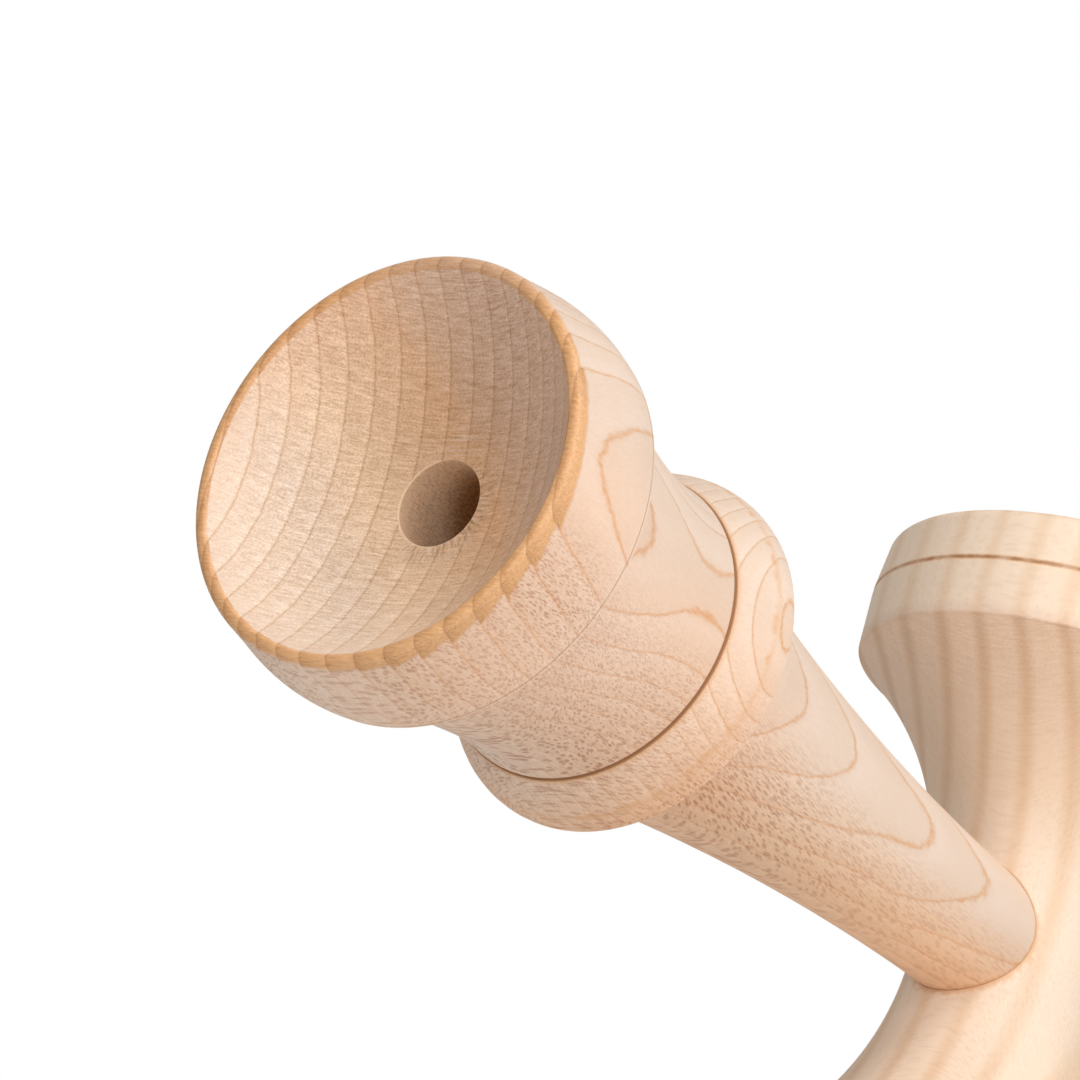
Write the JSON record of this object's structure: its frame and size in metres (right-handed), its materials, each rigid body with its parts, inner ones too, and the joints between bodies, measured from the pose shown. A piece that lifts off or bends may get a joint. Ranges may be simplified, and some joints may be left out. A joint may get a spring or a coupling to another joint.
{
  "type": "kendama",
  "caption": "Turned wooden kendama: handle with a hollow base cup, bead and spike, a cross-piece with a cup at each end, and a ball with a bevelled hole on the spike.",
  "frame": {"origin": "centre of the base cup's rim plane, on which the kendama stands", "axes": "+Z along the handle to the spike; X along the cross-piece, with the big cup on -X and the small cup on +X; the cross-piece's string hole opens to -Y"},
  "size_m": [0.0713, 0.06, 0.1755],
  "materials": {
    "handle_wood": "sanded, unpainted",
    "cross_piece_wood": "sanded, unpainted",
    "ball_wood": "sanded, unpainted"
  },
  "bodies": {
    "ken": {"ken": "handle_wood"},
    "sarado": {"sarado": "cross_piece_wood"},
    "tama": {"tama": "ball_wood"}
  },
  "joints": [
    {"name": "sarado_slide", "type": "slide", "parent": "ken", "child": "sarado", "axis": [0, 0, 1], "range_m": [0, 0.065]},
    {"name": "tama_lift", "type": "slide", "parent": "sarado", "child": "tama", "axis": [0, 0, 1], "range_m": [0, 0.044]}
  ]
}
